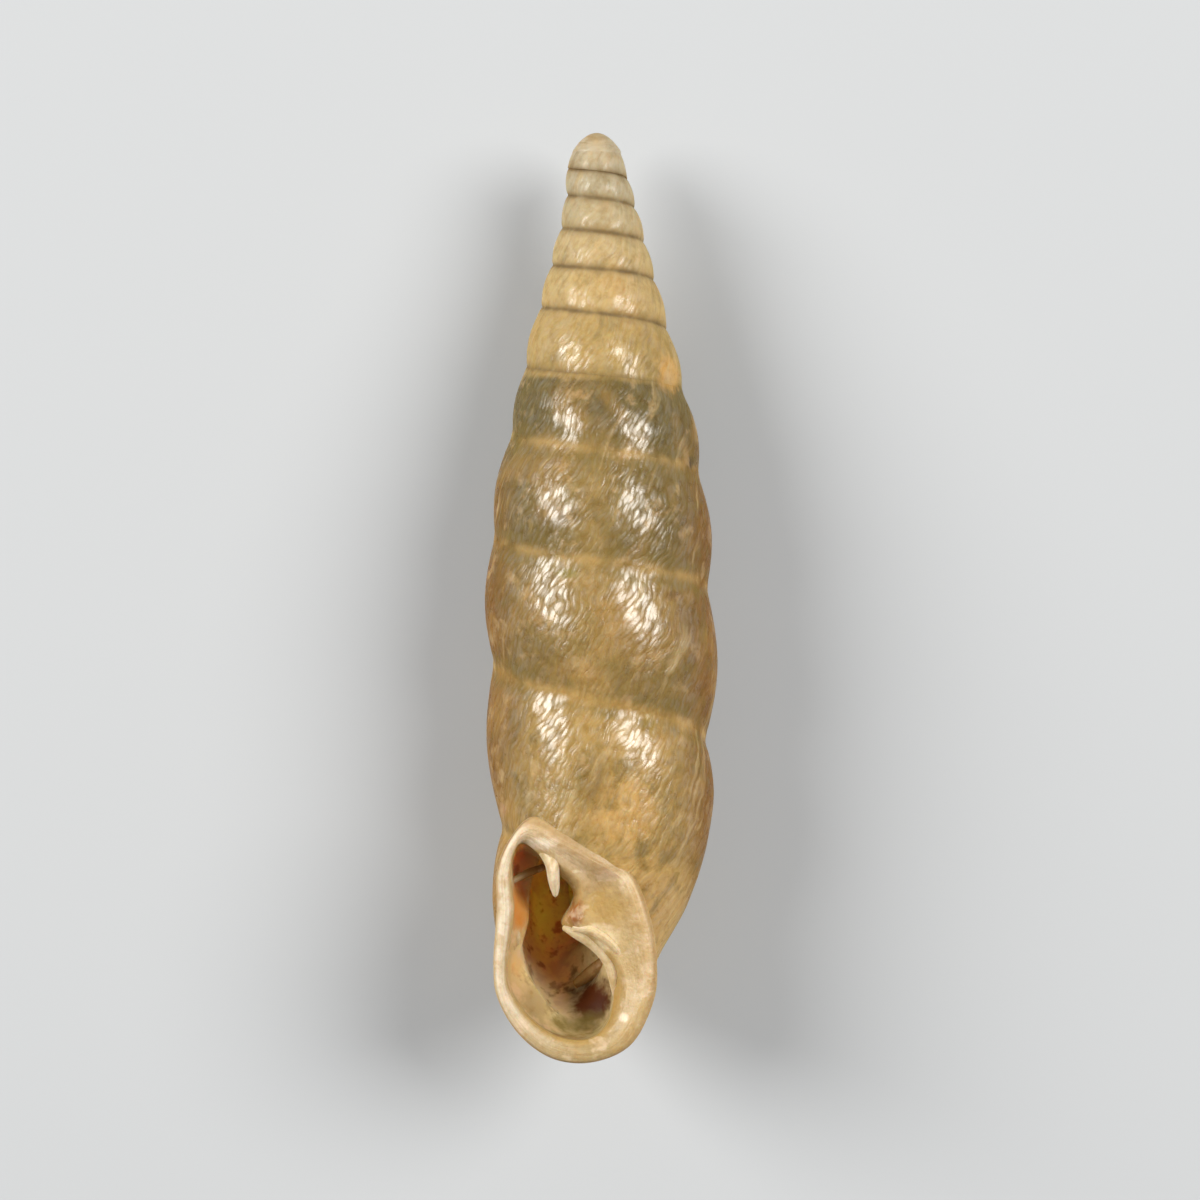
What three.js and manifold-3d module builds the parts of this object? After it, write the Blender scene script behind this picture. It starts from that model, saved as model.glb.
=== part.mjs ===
// Plaited door snail shell: one grown piece, lying on its back with the mouth up.
// Millimetres. The shell is worked out in its growth frame, which stands on the lowest point of the
// mouth: +X to the right of the mouth, +Y behind it, +Z along the coiling axis to the apex. The shell
// is sinistral: the whorls run left, front, right, back as they grow, and the mouth is at the left.
// It is then laid on its back: apex to +Y, mouth to +Z, with small flats where it touches the surface.
import * as THREE from 'three';
import { mergeVertices } from 'three/addons/utils/BufferGeometryUtils.js';
import Module from 'manifold-3d';

const wasm = await Module();
wasm.setup();

// Driving dimensions.
const SHELL_HEIGHT = 16.5;
const WHORLS = 11;
const SUTURE_LEAN = 0.033; // rise of each suture on the right side, per mm of radius
const BULGE_PER_HEIGHT = 0.072; // how far a whorl swells past its sutures, per mm of whorl height
const BULGE_MOST = 0.2;
const BODY_SWELL_DEPTH = 1.1; // distance below the last suture where the body whorl is full
const WALL = 0.16;
const COLUMN_SHARE = 0.13; // radius of the solid column in the middle, per mm of whorl radius
const SEPTUM = 0.07; // half the thickness of the floor between two whorls
const CAVITY_START = 5; // turn where the hollow begins below the apex
const MOUTH_PLANE = 1.684; // distance of the lip's crest in front of the axis at the base
const MOUTH_SLOPE = 0.0512; // the crest comes forward by this much per mm of height
const LIP_OVER_BODY = 0.05; // the lip's height over the body whorl where it lies on it
const LIP_ROUND = 0.12; // width of the rounded outer edge of the lip
const PITCH = THREE.MathUtils.degToRad(1.4); // apex down, so that two whorls touch the surface
const FLAT_DEPTH = 0.08; // how deep the resting flats cut into the roundest whorls

// Mesh fineness.
const STEPS_PER_TURN = 26;
const ROWS = 5;
const LIP_STEPS = 40;
const CAVITY_STEPS_PER_TURN = 18;
const CAVITY_SIDES = 10;

// Suture height at each whole turn, counted at the shell's left side. Past the last whorl the turns
// only carry the skin round the base.
const SUTURE_HEIGHTS = [
  16.5, 16.34, 15.83, 15.36, 14.8, 14.11, 13.39, 12.32, 11.11, 9.26, 7.01, 4.04, 2.25, 0.98, 0.45, 0.28,
];
const FIRST_TURN = 0.3;
const LAST_TURN = SUTURE_HEIGHTS.length - 2;

// Radius of the suture line at a height, from the contact with the lip up to the apex.
const SUTURE_RADII = [
  [3.56, 1.72], [4.04, 1.75], [4.86, 1.86], [5.6, 1.89], [7.01, 1.91], [8.4, 1.93], [9.26, 1.9],
  [10.82, 1.67], [12.07, 1.4], [13.2, 1.12], [14.67, 0.74], [15.3, 0.59], [15.83, 0.52], [16.02, 0.5],
  [16.2, 0.44], [16.34, 0.34], [16.45, 0.21], [16.5, 0],
];

// Reach of the body whorl from the axis at a height, to the four sides. They meet at the base's tip.
const BASE_TIP = [-0.39, -1.06, 0.2];
const REACH_RIGHT = [
  [0.2, -0.39], [0.34, 0.09], [0.9, 0.64], [1.82, 1.07], [2.7, 1.57], [3.83, 1.93], [4.73, 2.05],
  [5.76, 2.07],
];
const REACH_LEFT = [
  [0.2, 0.39], [0.34, 0.8], [0.9, 1.51], [1.3, 1.68], [2.0, 1.81], [2.85, 1.91], [4.04, 1.94],
  [5.76, 2.08],
];
const REACH_BACK = [
  [0.2, -1.06], [0.34, -0.44], [0.66, 0.28], [1.3, 1.03], [2.3, 1.65], [3.48, 1.97], [4.55, 2.05],
  [5.76, 2.06],
];
const REACH_FRONT = [
  [0.2, 1.06], [0.34, 1.35], [0.6, 1.42], [1.1, 1.52], [1.95, 1.65], [2.8, 1.78], [3.83, 1.97],
  [5.25, 2.06],
];
// The middle that the skin is measured about: on the axis, but it slides to the tip in the base and
// sways a little up the spire.
const MIDDLE_X = [
  [0.2, -0.39], [1.4, -0.38], [2.8, -0.2], [4.2, 0], [8.8, 0], [10.2, 0.02], [11.5, 0.04], [12.6, 0.02],
  [15.2, 0.015], [16.4, -0.07],
];
const MIDDLE_Y = [[0.2, -1.06], [1.0, -0.7], [2.2, -0.25], [3.6, 0]];
// Squareness of the corner between left and front, where the neck runs straight to the mouth.
const NECK_SQUARENESS = [[3.0, 5], [3.6, 3.8], [4.3, 2]];

// Outline of the mouth seen from the front, counterclockwise from its top corner: the outer edge of
// the lip [x, z] and, beside it, the edge of the opening [x, z].
const MOUTH = [
  [-1.26, 4.26, -1.31, 3.83], [-1.58, 4.02, -1.5, 3.61], [-1.77, 3.4, -1.54, 3.16],
  [-1.76, 2.71, -1.49, 2.61], [-1.87, 1.73, -1.64, 1.78], [-1.79, 1.12, -1.58, 1.29],
  [-1.4, 0.48, -1.23, 0.79], [-0.81, 0.07, -0.73, 0.46], [-0.1, 0.02, -0.2, 0.42],
  [0.56, 0.34, 0.14, 0.7], [0.94, 1.09, 0.25, 1.23], [1, 1.73, 0.14, 1.65],
  [0.91, 2.47, -0.28, 2.07], [0.59, 3.13, -0.66, 2.4], [0.28, 3.42, -0.49, 2.78],
  [-0.15, 3.62, -0.49, 3.06], [-0.7, 3.96, -0.84, 3.35],
];
const MOUTH_MIDDLE = [-0.7, 2.1];

// Upright oval sections of the passage from the mouth back into the whorl: the centre [x, y, z], the
// bearing that the section's outer side points to in degrees, half width and half height.
const PASSAGE = [
  [-0.72, -0.75, 2.2, 180, 0.92, 1.52],
  [-0.78, 0, 2.45, 180, 0.86, 1.42],
  [-0.65, 0.67, 2.92, 135, 0.77, 1.27],
  [0, 1.01, 3.43, 90, 0.79, 1.215],
];
const PASSAGE_END = [0.43, 0.91, 3.65];
// Height of the spiral hollow's centre and its half height over the last turn, by turn.
const HOLLOW_HEIGHT = [[9.75, 6.26], [10, 5.54], [10.25, 4.83], [10.5, 4.08], [10.75, 3.43], [11, 2.9]];
const HOLLOW_HALF = [[9.75, 1.2], [10, 1.22], [10.25, 1.24], [10.5, 1.24], [10.75, 1.2], [11, 1.15]];

// The parietal tooth, a blade hanging from the mouth's upper wall: [x, y, z, half thickness, half depth].
const PARIETAL_TOOTH = [
  [-0.82, -1.4, 3.85, 0.13, 0.3], [-0.8, -1.36, 3.5, 0.12, 0.32], [-0.79, -1.3, 3.2, 0.09, 0.3],
  [-0.78, -1.22, 3.0, 0.05, 0.2],
];
// Folds in the mouth, each a rounded ridge along [x, y, z, radius].
const COLUMELLAR_FOLD = [
  [0.23, -1.3, 1.4, 0.07], [0.14, -1.32, 1.75, 0.1], [0, -1.3, 2.03, 0.11], [-0.22, -1.22, 2.24, 0.11],
  [-0.46, -1.08, 2.36, 0.1], [-0.6, -0.88, 2.42, 0.08],
];
const PALATAL_FOLD = [
  [-1.56, -1.2, 3.1, 0.08], [-1.36, -1.1, 3.36, 0.09], [-1.08, -1.0, 3.56, 0.08],
];

// A smooth curve through [x, y] knots that never swings past them.
function smoothCurve(knots) {
  const steps = knots.slice(1).map((knot, i) => (knot[1] - knots[i][1]) / (knot[0] - knots[i][0]));
  const slopes = knots.map((knot, i) => {
    if (i === 0) return steps[0];
    if (i === knots.length - 1) return steps[i - 1];
    const together = steps[i - 1] * steps[i] > 0;
    return together ? (2 * steps[i - 1] * steps[i]) / (steps[i - 1] + steps[i]) : 0;
  });
  return (x) => {
    const inside = THREE.MathUtils.clamp(x, knots[0][0], knots[knots.length - 1][0]);
    let i = 0;
    while (i < knots.length - 2 && inside > knots[i + 1][0]) i += 1;
    const span = knots[i + 1][0] - knots[i][0];
    const s = (inside - knots[i][0]) / span;
    return (
      knots[i][1] * (1 + 2 * s) * (1 - s) ** 2 +
      knots[i + 1][1] * s * s * (3 - 2 * s) +
      span * (slopes[i] * s * (1 - s) ** 2 - slopes[i + 1] * s * s * (1 - s))
    );
  };
}

// From the growth frame to the resting pose: on its back, apex to +Y, tilted onto two whorls.
const LAY_DOWN = new THREE.Matrix4().makeRotationX(-Math.PI / 2 - PITCH);

const mix = THREE.MathUtils.lerp;
const smoothstep = THREE.MathUtils.smoothstep;
const sutureHeightAtLeft = smoothCurve(SUTURE_HEIGHTS.map((height, turn) => [turn, height]));
const sutureRadiusAt = smoothCurve(SUTURE_RADII);
const reachRight = smoothCurve(REACH_RIGHT);
const reachLeft = smoothCurve(REACH_LEFT);
const reachBack = smoothCurve(REACH_BACK);
const reachFront = smoothCurve(REACH_FRONT);
const middleX = smoothCurve(MIDDLE_X);
const middleY = smoothCurve(MIDDLE_Y);
const neckSquareness = smoothCurve(NECK_SQUARENESS);
const hollowHeight = smoothCurve(HOLLOW_HEIGHT);
const hollowHalf = smoothCurve(HOLLOW_HALF);

// Turns are counted at the left side: a quarter more is the front, a half the right.
function angleAt(turn) {
  return Math.PI + 2 * Math.PI * turn;
}

function sutureHeight(turn) {
  const height = sutureHeightAtLeft(turn);
  const lean = SUTURE_LEAN * sutureRadiusAt(height) * (1 + Math.cos(angleAt(turn)));
  return Math.min(SHELL_HEIGHT, height + lean * smoothstep(turn, 0, 2) * smoothstep(-turn, -13, -11));
}

// Distance of the body whorl's skin from the middle, towards an angle: four quarters of ellipses.
function bodyReach(angle, height) {
  const across = Math.cos(angle);
  const along = Math.sin(angle);
  const side = across > 0 ? reachRight(height) - middleX(height) : reachLeft(height) + middleX(height);
  const depth = along > 0 ? reachBack(height) - middleY(height) : reachFront(height) + middleY(height);
  const squareness = across < 0 && along < 0 ? neckSquareness(height) : 2;
  const sum = Math.abs(across / side) ** squareness + Math.abs(along / depth) ** squareness;
  return sum ** (-1 / squareness);
}

// Distance of the skin from the middle on a whorl, a share of the way down from its upper suture.
function skinReach(turn, share) {
  const angle = angleAt(turn);
  const top = sutureHeight(turn);
  const low = sutureHeight(turn + 1);
  const height = mix(top, low, share);
  const bulge = Math.min(BULGE_MOST, BULGE_PER_HEIGHT * (top - low)) * Math.sin(Math.PI * share) ** 1.15;
  const whorl = mix(sutureRadiusAt(top), sutureRadiusAt(low), share) + bulge;
  const bodyShare = smoothstep(turn, WHORLS - 1, WHORLS - 0.75);
  if (bodyShare === 0) return whorl;
  const fade = 1 - smoothstep(turn, WHORLS, WHORLS + 0.25);
  const notch = fade * (bodyReach(angle, top) - sutureRadiusAt(top));
  const down = Math.min(1, (top - height) / BODY_SWELL_DEPTH);
  const body = bodyReach(angle, height) - notch * (1 - Math.sin((Math.PI / 2) * down));
  return mix(whorl, body, bodyShare);
}

function skinPoint(turn, share) {
  const angle = angleAt(turn);
  const height = mix(sutureHeight(turn), sutureHeight(turn + 1), share);
  const reach = skinReach(turn, share);
  return [middleX(height) + reach * Math.cos(angle), middleY(height) + reach * Math.sin(angle), height];
}

// A closed solid from its corner points and triangles, laid in the resting pose.
function solidFrom(points, triangles) {
  const geometry = new THREE.BufferGeometry();
  geometry.setAttribute('position', new THREE.BufferAttribute(new Float32Array(points.flat()), 3));
  geometry.setIndex(triangles.flat());
  return toManifold(geometry.applyMatrix4(LAY_DOWN));
}

function toManifold(geometry) {
  geometry.deleteAttribute('normal');
  geometry.deleteAttribute('uv');
  const merged = mergeVertices(geometry, 1e-5);
  const mesh = new wasm.Mesh({
    numProp: 3,
    vertProperties: new Float32Array(merged.attributes.position.array),
    triVerts: new Uint32Array(merged.index.array),
  });
  return new wasm.Manifold(mesh);
}

// The skin over the whole spiral. Each row of a whorl's lower edge is the next whorl's upper edge.
function spiralBody() {
  const columns = Math.round((LAST_TURN - FIRST_TURN) * STEPS_PER_TURN);
  const points = [];
  const place = new Map();
  const index = (column, row) => {
    if (row === ROWS && column + STEPS_PER_TURN <= columns) return index(column + STEPS_PER_TURN, 0);
    const key = column * (ROWS + 1) + row;
    if (!place.has(key)) {
      place.set(key, points.length);
      points.push(skinPoint(FIRST_TURN + column / STEPS_PER_TURN, row / ROWS));
    }
    return place.get(key);
  };
  const triangles = [];
  for (let column = 0; column < columns; column += 1) {
    for (let row = 0; row < ROWS; row += 1) {
      const here = index(column, row);
      const below = index(column, row + 1);
      const across = index(column + 1, row + 1);
      triangles.push([here, across, index(column + 1, row)], [here, below, across]);
    }
  }
  const apex = points.push([middleX(SHELL_HEIGHT), 0, SHELL_HEIGHT]) - 1;
  for (let column = 0; column < STEPS_PER_TURN; column += 1) {
    triangles.push([apex, index(column, 0), index(column + 1, 0)]);
  }
  for (let row = 0; row < ROWS; row += 1) triangles.push([apex, index(0, row + 1), index(0, row)]);
  const tip = points.push(BASE_TIP) - 1;
  for (let column = columns - STEPS_PER_TURN; column < columns; column += 1) {
    triangles.push([tip, index(column + 1, ROWS), index(column, ROWS)]);
  }
  for (let row = 0; row < ROWS; row += 1) triangles.push([tip, index(columns, row), index(columns, row + 1)]);
  return solidFrom(points, triangles);
}

// A closed skin through rings of equal point count, with a fan over each end. The rings run
// counterclockwise as seen from the end point.
function loft(rings, startPoint, endPoint) {
  const sides = rings[0].length;
  const points = [...rings.flat(), startPoint, endPoint];
  const start = points.length - 2;
  const end = points.length - 1;
  const lastRing = (rings.length - 1) * sides;
  const triangles = [];
  for (let side = 0; side < sides; side += 1) {
    const next = (side + 1) % sides;
    for (let ring = 0; ring < rings.length - 1; ring += 1) {
      const a = ring * sides;
      const b = a + sides;
      triangles.push([a + side, a + next, b + next], [a + side, b + next, b + side]);
    }
    triangles.push([start, next, side], [end, lastRing + side, lastRing + next]);
  }
  return solidFrom(points, triangles);
}

// The mouth's outlines, sampled evenly: outer edge, opening edge and how far apart they are.
function mouthStations() {
  const outer = new THREE.CatmullRomCurve3(MOUTH.map((m) => new THREE.Vector3(m[0], 0, m[1])), true);
  const inner = new THREE.CatmullRomCurve3(MOUTH.map((m) => new THREE.Vector3(m[2], 0, m[3])), true);
  return Array.from({ length: LIP_STEPS }, (_, i) => {
    const o = outer.getPoint(i / LIP_STEPS);
    const n = inner.getPoint(i / LIP_STEPS);
    const width = o.distanceTo(n);
    const plane = MOUTH_PLANE + MOUTH_SLOPE * o.z;
    const crest = Math.max(plane, bodyDepth(o.x, o.z) + LIP_OVER_BODY);
    return { outer: o, inner: n, width, crest };
  });
}

// How far the body whorl reaches in front of the axis at a place in the front view.
function bodyDepth(x, z) {
  const dx = x - middleX(z);
  const side = dx > 0 ? reachRight(z) - middleX(z) : reachLeft(z) + middleX(z);
  const squareness = dx > 0 ? 2 : neckSquareness(z);
  const rest = 1 - Math.min(1, Math.abs(dx / side)) ** squareness;
  return (reachFront(z) + middleY(z)) * rest ** (1 / squareness) - middleY(z);
}

// A ring round the mouth: a distance inwards from the outer edge, and a depth in front of the axis.
function mouthRing(stations, inwards, depth) {
  return stations.map((s) => {
    const share = inwards(s) / s.width;
    return [mix(s.outer.x, s.inner.x, share), -depth(s), mix(s.outer.z, s.inner.z, share)];
  });
}

// The neck behind the lip and the lip's rounded rim, still filled.
function filledLip(stations) {
  const ring = (inset, depth) => mouthRing(stations, () => inset, depth);
  const rings = [
    ring(0.36, () => 0.5),
    ring(0.19, () => 0.95),
    ring(0.13, (s) => s.crest - 0.5),
    ring(0.09, (s) => s.crest - 0.3),
    ring(0, (s) => s.crest - 0.14),
    ring(0.03, (s) => s.crest - 0.05),
    ring(LIP_ROUND, (s) => s.crest),
  ];
  const [x, z] = MOUTH_MIDDLE;
  return loft(rings, [x, -0.3, z], [x, -1.7, z]);
}

// How far the lip's slope falls from its crest to the edge of the opening: most beside the column.
function lipFall(station) {
  return 0.16 + 0.42 * smoothstep(station.width, 0.35, 0.9);
}

// The space of the mouth: in front of the lip, down its slope and back into the last whorl.
function mouthHollow(stations) {
  const slope = (share) => mouthRing(
    stations,
    (s) => mix(LIP_ROUND + 0.04, s.width, share),
    (s) => s.crest - lipFall(s) * share - 0.02,
  );
  const front = mouthRing(stations, () => LIP_ROUND + 0.04, (s) => s.crest + 0.6);
  const throat = mouthRing(stations, (s) => s.width + 0.02, (s) => s.crest - lipFall(s) - 0.28);
  const [x, z] = MOUTH_MIDDLE;
  const turns = stations.map((s) => Math.atan2(s.inner.z - z, x - s.inner.x));
  const sections = PASSAGE.map(([cx, cy, cz, bearing, halfWidth, halfHeight]) => {
    const angle = THREE.MathUtils.degToRad(bearing);
    return turns.map((around) => {
      const out = halfWidth * Math.cos(around);
      return [cx + out * Math.cos(angle), cy + out * Math.sin(angle), cz + halfHeight * Math.sin(around)];
    });
  });
  const inwards = [front, slope(0), slope(0.5), slope(1), throat, ...sections];
  return loft(inwards.reverse(), PASSAGE_END, [x, -2.8, z]);
}

// The spiral hollow inside the whorls, one oval section after another round the column.
function spiralHollow() {
  const steps = Math.round((WHORLS - 0.2 - CAVITY_START) * CAVITY_STEPS_PER_TURN);
  const section = (turn) => {
    const angle = angleAt(turn);
    const top = sutureHeight(turn);
    const low = sutureHeight(turn + 1);
    const late = turn > WHORLS - 1.25;
    const height = late ? hollowHeight(turn) : (top + low) / 2;
    const half = late ? hollowHalf(turn) : (top - low) / 2 - SEPTUM - 0.035 * (top - low);
    const outer = (late ? bodyReach(angle, height) : skinReach(turn, 0.5)) - WALL;
    const column = COLUMN_SHARE * outer;
    return { angle, height, half, middle: (outer + column) / 2, halfWidth: (outer - column) / 2 };
  };
  const place = (s, around) => {
    const reach = s.middle + s.halfWidth * Math.cos(around);
    return [reach * Math.cos(s.angle), reach * Math.sin(s.angle), s.height + s.half * Math.sin(around)];
  };
  const rings = [];
  for (let step = 0; step <= steps; step += 1) {
    const s = section(CAVITY_START + step / CAVITY_STEPS_PER_TURN);
    rings.push(Array.from({ length: CAVITY_SIDES }, (_, i) => place(s, (-2 * Math.PI * i) / CAVITY_SIDES)));
  }
  const centre = (s) => [s.middle * Math.cos(s.angle), s.middle * Math.sin(s.angle), s.height];
  const first = section(CAVITY_START - 0.02);
  const last = section(CAVITY_START + (steps + 0.3) / CAVITY_STEPS_PER_TURN);
  return loft(rings, centre(first), centre(last));
}

// A rounded ridge along a short curve.
function ridge(path) {
  const centre = new THREE.CatmullRomCurve3(path.map(([x, y, z]) => new THREE.Vector3(x, y, z)));
  const radius = smoothCurve(path.map((p, i) => [i / (path.length - 1), p[3]]));
  const steps = 3 * (path.length - 1);
  const sides = 8;
  const frames = centre.computeFrenetFrames(steps, false);
  const rings = [];
  for (let step = 0; step <= steps; step += 1) {
    const middle = centre.getPoint(step / steps);
    rings.push(Array.from({ length: sides }, (_, i) => {
      const around = (2 * Math.PI * i) / sides;
      return middle.clone()
        .addScaledVector(frames.normals[step], radius(step / steps) * Math.cos(around))
        .addScaledVector(frames.binormals[step], radius(step / steps) * Math.sin(around))
        .toArray();
    }));
  }
  const out = (step, amount) => centre.getPoint(step / steps)
    .addScaledVector(frames.tangents[step], amount * radius(step / steps)).toArray();
  return loft(rings, out(0, -0.6), out(steps, 0.6));
}

// An upright blade through oval sections, from its root down to its tip.
function blade(sections) {
  const sides = 10;
  const rings = sections.map(([x, y, z, thickness, depth]) => Array.from({ length: sides }, (_, i) => {
    const around = (-2 * Math.PI * i) / sides;
    return [x + thickness * Math.cos(around), y + depth * Math.sin(around), z];
  }));
  const end = (section, rise) => [section[0], section[1], section[2] + rise];
  return loft(rings, end(sections[0], 0.05), end(sections[sections.length - 1], -0.04));
}

// Everything below the resting surface, as one block.
function blockBelow(height) {
  const block = new THREE.BoxGeometry(40, 40, 10);
  block.translate(0, 0, height - 5);
  return toManifold(block);
}

function toGeometry(manifold) {
  const mesh = manifold.getMesh();
  const geometry = new THREE.BufferGeometry();
  geometry.setAttribute('position', new THREE.BufferAttribute(new Float32Array(mesh.vertProperties), 3));
  geometry.setIndex(new THREE.BufferAttribute(new Uint32Array(mesh.triVerts), 1));
  return geometry;
}

function shellGeometry() {
  const stations = mouthStations();
  const grown = spiralBody().add(filledLip(stations))
    .subtract(spiralHollow())
    .subtract(mouthHollow(stations))
    .add(blade(PARIETAL_TOOTH))
    .add(ridge(COLUMELLAR_FOLD))
    .add(ridge(PALATAL_FOLD));
  const lowest = grown.boundingBox().min[2];
  const geometry = toGeometry(grown.subtract(blockBelow(lowest + FLAT_DEPTH)));
  geometry.computeBoundingBox();
  const box = geometry.boundingBox;
  geometry.translate(-(box.min.x + box.max.x) / 2, -(box.min.y + box.max.y) / 2, -box.min.z);
  geometry.computeVertexNormals();
  return geometry;
}

const horn = new THREE.MeshStandardMaterial({ color: 0xb98f5a, roughness: 0.3, metalness: 0 });
const shell = new THREE.Mesh(shellGeometry(), horn);
shell.name = 'shell';

const part = new THREE.Group();
part.add(shell);
export default part;
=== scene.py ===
"""Plaited door snail shell: one grown shell, lying on its back on a pale floor.

The shell is worked out in millimetres in its growth frame, which stands on the lowest point of the mouth:
+X to the right of the mouth, +Y behind it, +Z along the coiling axis to the apex. It coils to the left.
Turns are counted down from the apex at the shell's left side: a quarter more is the front, a half the
right. At the end it is laid on its back, apex to +Y and mouth up, and brought to metres.
"""
import math

import bpy
import numpy as np
from mathutils import Matrix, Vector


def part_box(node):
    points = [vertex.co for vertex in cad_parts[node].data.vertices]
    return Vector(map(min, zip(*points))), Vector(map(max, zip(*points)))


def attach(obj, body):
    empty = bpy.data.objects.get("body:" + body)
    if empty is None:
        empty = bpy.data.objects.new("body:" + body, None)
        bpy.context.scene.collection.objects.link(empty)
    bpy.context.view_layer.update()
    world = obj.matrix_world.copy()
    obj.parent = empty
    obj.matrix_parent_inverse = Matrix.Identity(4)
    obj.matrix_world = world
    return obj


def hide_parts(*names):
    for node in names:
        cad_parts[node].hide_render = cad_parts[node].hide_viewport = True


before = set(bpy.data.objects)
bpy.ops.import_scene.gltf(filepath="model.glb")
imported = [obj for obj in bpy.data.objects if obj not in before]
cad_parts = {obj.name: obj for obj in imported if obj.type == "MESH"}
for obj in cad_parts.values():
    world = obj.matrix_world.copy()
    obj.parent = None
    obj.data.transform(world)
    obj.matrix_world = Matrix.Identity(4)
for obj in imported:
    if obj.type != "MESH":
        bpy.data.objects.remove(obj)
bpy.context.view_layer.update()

MM = 0.001

# Driving dimensions, in millimetres and turns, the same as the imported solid's or close to them.
SHELL_HEIGHT = 16.5
WHORLS = 11
SUTURE_LEAN = 0.033  # rise of each suture on the right side, per mm of radius
BULGE_PER_HEIGHT = 0.072  # how far a whorl swells past its sutures, per mm of whorl height
BULGE_MOST = 0.2
BODY_SWELL_DEPTH = 1.1  # distance below the last suture where the body whorl is full
WALL = 0.16
COLUMN_SHARE = 0.13  # radius of the solid column in the middle, per mm of whorl radius
SEPTUM = 0.07  # half the thickness of the floor between two whorls
CAVITY_START = 5.0
MOUTH_PLANE = 1.684
MOUTH_SLOPE = 0.0512
LIP_OVER_BODY = 0.022
LIP_ROUND = 0.12
LIP_FALL = 0.16  # how far the lip's slope falls to the opening where the lip is narrow
BROAD_LIP_FALL = 0.42  # how much further it falls where the lip is broad
CREST_SOFTNESS = 0.0012  # rounds the crest where the lip climbs onto the body whorl, in square millimetres
GROOVE_DEPTH = 0.018  # of the seams between the early whorls
GROOVE_WIDTH = 0.045
SEAM_WIDTH = 0.15  # over which the skin is filled at a late seam
WAVE_HEIGHT = 0.006  # of the growth waves
SHARP_EDGE = math.radians(55)
PITCH = math.radians(1.4)  # apex down, so that two whorls touch the floor
FIRST_TURN = 0.3

SUTURE_HEIGHTS = (16.5, 16.34, 15.865, 15.39, 14.8, 14.135, 13.39, 12.32, 11.11, 9.26, 7.01, 4.04, 2.25,
                  0.98, 0.45, 0.28)
LAST_TURN = len(SUTURE_HEIGHTS) - 2
SUTURE_RADII = ((3.56, 1.72), (4.04, 1.75), (4.86, 1.86), (5.6, 1.89), (7.01, 1.91), (8.4, 1.93),
                (9.26, 1.9), (10.82, 1.67), (12.07, 1.4), (13.2, 1.12), (14.67, 0.74), (15.3, 0.59),
                (15.83, 0.515), (16.02, 0.49), (16.2, 0.41), (16.34, 0.3), (16.45, 0.17), (16.5, 0))
DOME_WIDTH = 0.76  # radius of the round apex, per square root of the depth below its top
DOME_DEPTH = 0.5
DOME_X = -0.06
BASE_TIP = (-0.39, -1.06, 0.2)
REACH_RIGHT = ((0.2, -0.39), (0.34, 0.09), (0.9, 0.64), (1.82, 1.07), (2.7, 1.57), (3.83, 1.93),
               (4.73, 2.05), (5.76, 2.07))
REACH_LEFT = ((0.2, 0.39), (0.34, 0.8), (0.9, 1.51), (1.3, 1.68), (2.0, 1.81), (2.85, 1.91), (4.04, 1.94),
              (5.76, 2.08))
REACH_BACK = ((0.2, -1.06), (0.34, -0.44), (0.66, 0.28), (1.3, 1.03), (2.3, 1.65), (3.48, 1.97),
              (4.55, 2.05), (5.76, 2.06))
REACH_FRONT = ((0.2, 1.06), (0.34, 1.35), (0.6, 1.42), (1.1, 1.52), (1.95, 1.65), (2.8, 1.78),
               (3.83, 1.97), (5.25, 2.06))
MIDDLE_X = ((0.2, -0.39), (1.4, -0.38), (2.8, -0.2), (4.2, 0), (8.8, 0), (10.2, 0.02), (11.5, 0.04),
            (12.6, 0.02), (14.9, 0.015), (15.6, -0.035), (15.95, -0.075), (16.45, -0.07))
MIDDLE_Y = ((0.2, -1.06), (1.0, -0.7), (2.2, -0.25), (3.6, 0))
NECK_SQUARENESS = ((2.8, 5), (3.5, 3.7), (4.5, 2.4), (5.4, 2))

# Outline of the mouth seen from the front, counterclockwise from its top corner: the outer edge of the lip
# (x, z) and, beside it, the edge of the opening (x, z).
MOUTH = ((-1.17, 4.34, -1.33, 3.87), (-1.55, 4.0, -1.54, 3.61), (-1.8, 3.42, -1.56, 3.16),
         (-1.81, 2.71, -1.52, 2.61), (-1.87, 1.73, -1.64, 1.78), (-1.79, 1.12, -1.58, 1.29),
         (-1.4, 0.48, -1.23, 0.79), (-0.81, 0.07, -0.73, 0.46), (-0.1, 0.02, -0.2, 0.42),
         (0.56, 0.34, 0.14, 0.7), (0.94, 1.09, 0.25, 1.23), (1, 1.73, 0.14, 1.65), (0.91, 2.47, -0.28, 2.09),
         (0.63, 3.24, -0.66, 2.41), (0.32, 3.54, -0.49, 2.78), (-0.1, 3.79, -0.49, 3.06),
         (-0.66, 4.11, -0.84, 3.42))
MOUTH_MIDDLE = (-0.7, 2.1)

# Upright oval sections of the passage from the mouth back into the whorl: the centre, the bearing that the
# section's outer side points to in degrees, half width and half height.
PASSAGE = ((-0.62, -0.45, 2.3, 180, 0.78, 1.48), (-0.68, 0, 2.45, 180, 0.78, 1.42),
           (-0.65, 0.67, 2.92, 135, 0.77, 1.27), (0, 1.01, 3.43, 90, 0.79, 1.215))
PASSAGE_END = (0.43, 0.91, 3.65)
HOLLOW_HEIGHT = ((9.75, 6.26), (10, 5.54), (10.25, 4.83), (10.5, 4.08), (10.75, 3.43), (11, 2.9))
HOLLOW_HALF = ((9.75, 1.2), (10, 1.22), (10.25, 1.24), (10.5, 1.24), (10.75, 1.2), (11, 1.15))

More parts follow.
